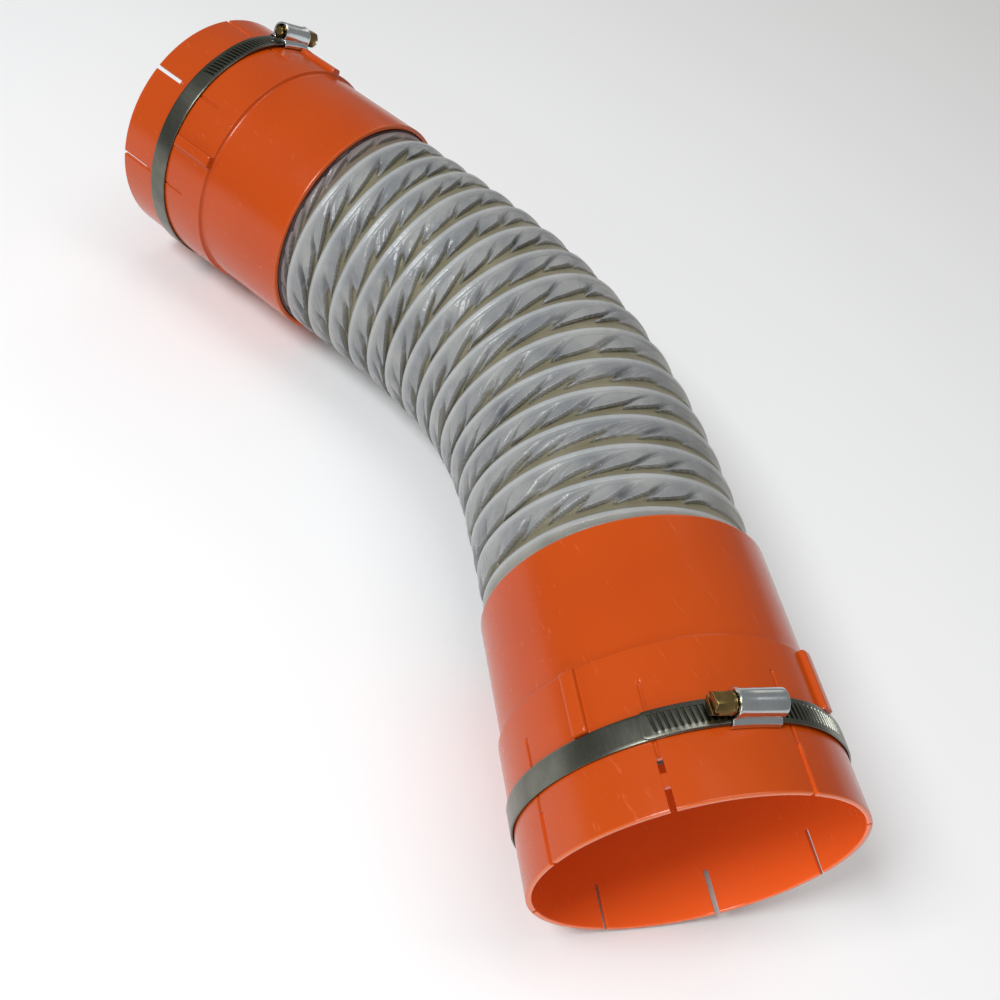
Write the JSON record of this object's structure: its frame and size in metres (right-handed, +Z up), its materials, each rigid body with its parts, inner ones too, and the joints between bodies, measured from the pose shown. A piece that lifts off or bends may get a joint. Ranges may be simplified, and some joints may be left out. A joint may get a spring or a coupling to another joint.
{
  "type": "flexible pipe connector",
  "caption": "Flexible connector for 110 mm pipe: slotted plastic sleeves joined by a wire-helix fabric hose, with a worm-drive clamp round each end.",
  "frame": {"origin": "middle of the bounding box on the surface that the part lies on", "axes": "+X from the far sleeve to the near sleeve, along the line between the two sleeve mouths; +Y toward the outside of the bend; +Z up, square to the plane of the bend"},
  "size_m": [0.4714, 0.1738, 0.1256],
  "materials": {
    "sleeve_plastic": "glossy moulded orange plastic",
    "hose_fabric": "grey coated fabric, satin",
    "spring_wire": "drawn spring steel",
    "adhesive": "dark flexible adhesive",
    "band_steel": "rolled steel band",
    "housing_zinc": "bright zinc plate",
    "screw_brass": "yellow passivated zinc"
  },
  "bodies": {
    "sleeve_near": {"sleeve_a": "sleeve_plastic", "hose_cuff_a": "hose_fabric", "adhesive_ring_a": "adhesive", "clamp_band_a": "band_steel", "clamp_housing_a": "housing_zinc", "hose_wall_01": "hose_fabric", "hose_wall_02": "hose_fabric", "wire_turn_01": "spring_wire", "wire_turn_02": "spring_wire"},
    "hose_turn_03": {"hose_wall_03": "hose_fabric", "wire_turn_03": "spring_wire"},
    "hose_turn_04": {"hose_wall_04": "hose_fabric", "wire_turn_04": "spring_wire"},
    "hose_turn_05": {"hose_wall_05": "hose_fabric", "wire_turn_05": "spring_wire"},
    "hose_turn_06": {"hose_wall_06": "hose_fabric", "wire_turn_06": "spring_wire"},
    "hose_turn_07": {"hose_wall_07": "hose_fabric", "wire_turn_07": "spring_wire"},
    "hose_turn_08": {"hose_wall_08": "hose_fabric", "wire_turn_08": "spring_wire"},
    "hose_turn_09": {"hose_wall_09": "hose_fabric", "wire_turn_09": "spring_wire"},
    "hose_turn_10": {"hose_wall_10": "hose_fabric", "wire_turn_10": "spring_wire"},
    "hose_turn_11": {"hose_wall_11": "hose_fabric", "wire_turn_11": "spring_wire"},
    "hose_turn_12": {"hose_wall_12": "hose_fabric", "wire_turn_12": "spring_wire"},
    "hose_turn_13": {"hose_wall_13": "hose_fabric", "wire_turn_13": "spring_wire"},
    "hose_turn_14": {"hose_wall_14": "hose_fabric", "wire_turn_14": "spring_wire"},
    "sleeve_far": {"sleeve_b": "sleeve_plastic", "hose_cuff_b": "hose_fabric", "adhesive_ring_b": "adhesive", "clamp_band_b": "band_steel", "clamp_housing_b": "housing_zinc", "hose_wall_15": "hose_fabric", "hose_wall_16": "hose_fabric", "wire_turn_15": "spring_wire", "wire_turn_16": "spring_wire"},
    "screw_near": {"clamp_screw_a": "screw_brass"},
    "screw_far": {"clamp_screw_b": "screw_brass"}
  },
  "joints": [
    {"name": "hose_bend_01", "type": "hinge", "parent": "sleeve_near", "child": "hose_turn_03", "pos_m": [0.09386, 0.01253, 0.05827], "axis": [0, 0, 1], "range_deg": [-1.84, 0.52]},
    {"name": "hose_bend_02", "type": "hinge", "parent": "hose_turn_03", "child": "hose_turn_04", "pos_m": [0.07989, 0.01756, 0.05827], "axis": [0, 0, 1], "range_deg": [-3.76, 1.05]},
    {"name": "hose_bend_03", "type": "hinge", "parent": "hose_turn_04", "child": "hose_turn_05", "pos_m": [0.06566, 0.0223, 0.05827], "axis": [0, 0, 1], "range_deg": [-6.12, 1.7]},
    {"name": "hose_bend_04", "type": "hinge", "parent": "hose_turn_05", "child": "hose_turn_06", "pos_m": [0.05077, 0.02661, 0.05827], "axis": [0, 0, 1], "range_deg": [-9.26, 2.56]},
    {"name": "hose_bend_05", "type": "hinge", "parent": "hose_turn_06", "child": "hose_turn_07", "pos_m": [0.03439, 0.03033, 0.05827], "axis": [0, 0, 1], "range_deg": [-13.07, 3.6]},
    {"name": "hose_bend_06", "type": "hinge", "parent": "hose_turn_07", "child": "hose_turn_08", "pos_m": [0.01737, 0.03277, 0.05827], "axis": [0, 0, 1], "range_deg": [-14.44, 3.98]},
    {"name": "hose_bend_07", "type": "hinge", "parent": "hose_turn_08", "child": "hose_turn_09", "pos_m": [0.0005, 0.03363, 0.05827], "axis": [0, 0, 1], "range_deg": [-15.3, 4.2]},
    {"name": "hose_bend_08", "type": "hinge", "parent": "hose_turn_09", "child": "hose_turn_10", "pos_m": [-0.01608, 0.0329, 0.05827], "axis": [0, 0, 1], "range_deg": [-14.02, 3.86]},
    {"name": "hose_bend_09", "type": "hinge", "parent": "hose_turn_10", "child": "hose_turn_11", "pos_m": [-0.03222, 0.03072, 0.05827], "axis": [0, 0, 1], "range_deg": [-12.49, 3.44]},
    {"name": "hose_bend_10", "type": "hinge", "parent": "hose_turn_11", "child": "hose_turn_12", "pos_m": [-0.04777, 0.02738, 0.05827], "axis": [0, 0, 1], "range_deg": [-9.42, 2.6]},
    {"name": "hose_bend_11", "type": "hinge", "parent": "hose_turn_12", "child": "hose_turn_13", "pos_m": [-0.06222, 0.02337, 0.05827], "axis": [0, 0, 1], "range_deg": [-6.54, 1.81]},
    {"name": "hose_bend_12", "type": "hinge", "parent": "hose_turn_13", "child": "hose_turn_14", "pos_m": [-0.07582, 0.01896, 0.05827], "axis": [0, 0, 1], "range_deg": [-4.11, 1.14]},
    {"name": "hose_bend_13", "type": "hinge", "parent": "hose_turn_14", "child": "sleeve_far", "pos_m": [-0.08902, 0.0143, 0.05827], "axis": [0, 0, 1], "range_deg": [-2.29, 0.65]},
    {"name": "screw_turn_near", "type": "hinge", "parent": "sleeve_near", "child": "screw_near", "pos_m": [0.19206, -0.02198, 0.12087], "axis": [-0.3543, -0.9343, 0.0393], "continuous": true},
    {"name": "screw_turn_far", "type": "hinge", "parent": "sleeve_far", "child": "screw_far", "pos_m": [-0.2008, -0.00175, 0.11594], "axis": [-0.3264, 0.8607, -0.3907], "continuous": true}
  ],
  "couplings": [
    {"joint": "hose_bend_01", "follows": "hose_bend_07", "ratio": 0.11888},
    {"joint": "hose_bend_02", "follows": "hose_bend_07", "ratio": 0.2445},
    {"joint": "hose_bend_03", "follows": "hose_bend_07", "ratio": 0.39877},
    {"joint": "hose_bend_04", "follows": "hose_bend_07", "ratio": 0.60393},
    {"joint": "hose_bend_05", "follows": "hose_bend_07", "ratio": 0.85307},
    {"joint": "hose_bend_06", "follows": "hose_bend_07", "ratio": 0.94221},
    {"joint": "hose_bend_08", "follows": "hose_bend_07", "ratio": 0.91511},
    {"joint": "hose_bend_09", "follows": "hose_bend_07", "ratio": 0.81496},
    {"joint": "hose_bend_10", "follows": "hose_bend_07", "ratio": 0.61446},
    {"joint": "hose_bend_11", "follows": "hose_bend_07", "ratio": 0.42622},
    {"joint": "hose_bend_12", "follows": "hose_bend_07", "ratio": 0.26737},
    {"joint": "hose_bend_13", "follows": "hose_bend_07", "ratio": 0.14871}
  ]
}
